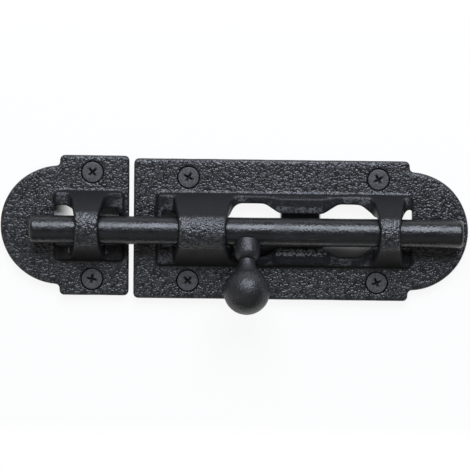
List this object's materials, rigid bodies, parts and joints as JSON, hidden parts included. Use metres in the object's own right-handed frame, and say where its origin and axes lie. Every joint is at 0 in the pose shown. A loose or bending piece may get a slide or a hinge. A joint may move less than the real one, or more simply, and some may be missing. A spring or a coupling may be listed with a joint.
{
  "type": "gate latch",
  "caption": "Black cast-iron slide-bolt gate latch with a ball knob, two guide straps, stop flanges and a separate keeper.",
  "frame": {"origin": "middle of the backplate's four screws, on the mounting surface at the back of the plates", "axes": "+X along the bolt towards its tail, +Y across the plates away from the knob, +Z out of the face"},
  "size_m": [0.2001, 0.0651, 0.053],
  "materials": {
    "black_casting": "rough cast, black coated",
    "black_bar": "satin black",
    "black_knob": "satin black",
    "dark_screw": "matt dark grey"
  },
  "bodies": {
    "base": {"backplate": "black_casting", "keeper": "black_casting", "plate_screws": "dark_screw", "keeper_screws": "dark_screw"},
    "bolt": {"bolt_rod": "black_bar"},
    "knob": {"knob_collar": "black_knob", "knob": "black_knob"}
  },
  "joints": [
    {"name": "bolt_slide", "type": "slide", "parent": "base", "child": "bolt", "axis": [1, 0, 0], "range_m": [-0.0015, 0.0465]},
    {"name": "knob_turn", "type": "hinge", "parent": "bolt", "child": "knob", "pos_m": [-0.0152, 0, 0.0112], "axis": [-1, 0, 0], "range_deg": [-16, 148]}
  ]
}
